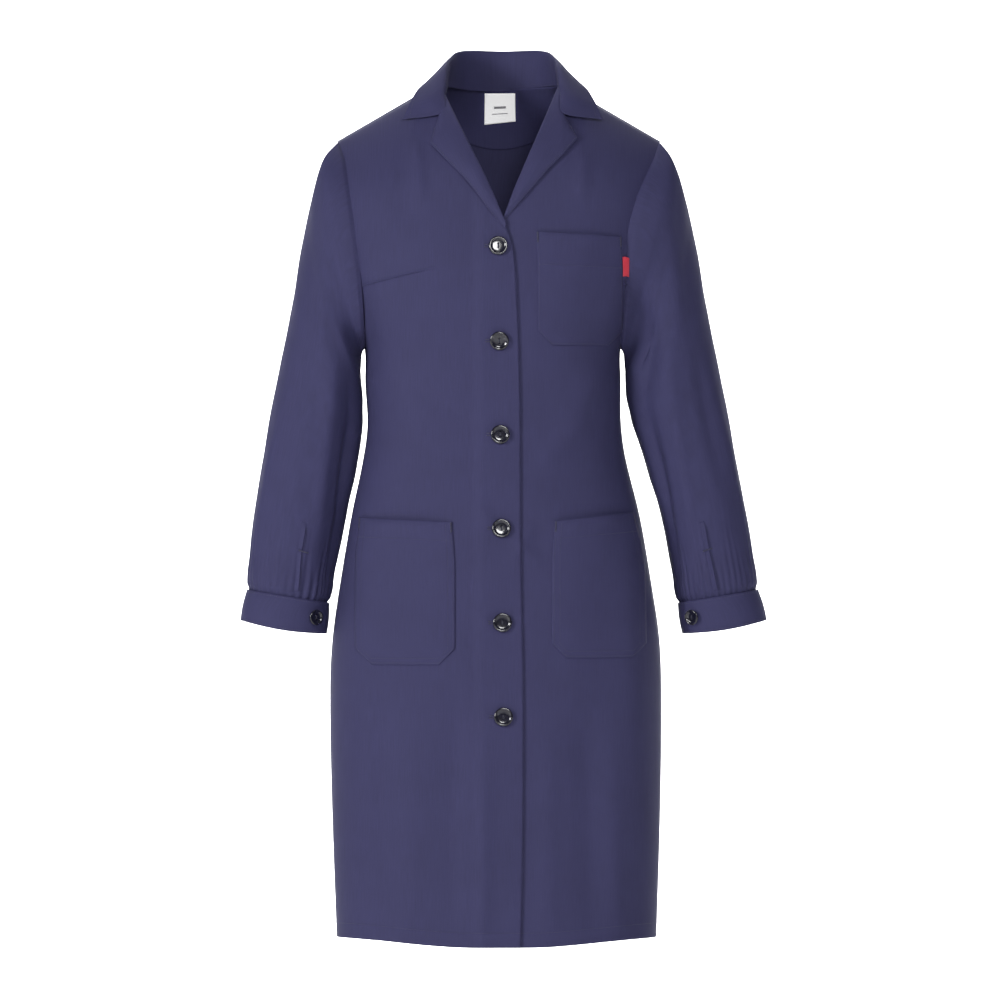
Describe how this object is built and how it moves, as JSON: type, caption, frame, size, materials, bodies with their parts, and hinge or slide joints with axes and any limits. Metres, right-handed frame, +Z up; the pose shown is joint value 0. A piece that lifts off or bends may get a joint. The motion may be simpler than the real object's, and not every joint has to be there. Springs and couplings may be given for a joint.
{
  "type": "lab coat",
  "caption": "Long-sleeved women's work and lab coat with notched collar, buttoned front, patch pockets and buttoned cuffs.",
  "frame": {"origin": "centre-back neck seam, where the collar meets the back", "axes": "+Z up the back, the front faces -Y, the wearer's right side is at -X"},
  "size_m": [0.6002, 0.2457, 1.046],
  "materials": {
    "twill": "matt polyester and cotton twill, navy",
    "twill_inside": "matt twill, reverse side",
    "interfacing": "fusible collar canvas",
    "thread": "spun polyester sewing thread",
    "label": "woven satin label",
    "tab": "woven red ribbon",
    "button": "polished cast polyester"
  },
  "bodies": {
    "body": {"back_panel": "twill", "right_front_upper": "twill", "left_front_upper": "twill", "right_band_upper": "twill", "right_facing_upper": "twill_inside", "left_facing_upper": "twill_inside", "right_lapel": "twill", "left_lapel": "twill", "under_collar": "twill", "collar_interfacing": "interfacing", "upper_collar": "twill", "back_neck_facing": "twill_inside", "neck_label": "label", "chest_pocket": "twill", "pocket_tab": "tab", "button_1": "button", "button_1_thread": "thread", "button_2": "button", "button_2_thread": "thread"},
    "right_front": {"right_front_lower": "twill", "right_band_lower": "twill", "right_facing_lower": "twill_inside", "right_lower_pocket": "twill"},
    "left_front": {"left_front_lower": "twill", "left_facing_lower": "twill_inside", "left_lower_pocket": "twill", "button_3": "button", "button_3_thread": "thread", "button_4": "button", "button_4_thread": "thread", "button_5": "button", "button_5_thread": "thread", "button_6": "button", "button_6_thread": "thread"},
    "right_arm": {"right_sleeve": "twill", "right_placket": "twill", "right_cuff": "twill", "right_cuff_button": "button", "right_cuff_button_thread": "thread"},
    "left_arm": {"left_sleeve": "twill", "left_placket": "twill", "left_cuff": "twill", "left_cuff_button": "button", "left_cuff_button_thread": "thread"}
  },
  "joints": [
    {"name": "right_front_open", "type": "hinge", "parent": "body", "child": "right_front", "pos_m": [-0.2005, -0.095, -0.65], "axis": [0, 0, -1], "range_deg": [0, 40], "deforming": ["right_band_lower"]},
    {"name": "left_front_open", "type": "hinge", "parent": "body", "child": "left_front", "pos_m": [0.1915, -0.095, -0.65], "axis": [0, 0, 1], "range_deg": [0, 28]},
    {"name": "right_arm_swing", "type": "hinge", "parent": "body", "child": "right_arm", "pos_m": [-0.194, -0.075, -0.058], "axis": [0, 1, 0], "range_deg": [0, 45]},
    {"name": "left_arm_swing", "type": "hinge", "parent": "body", "child": "left_arm", "pos_m": [0.191, -0.075, -0.058], "axis": [0, -1, 0], "range_deg": [0, 45]}
  ],
  "couplings": [
    {"joint": "left_front_open", "follows": "right_front_open", "ratio": 0.7}
  ]
}
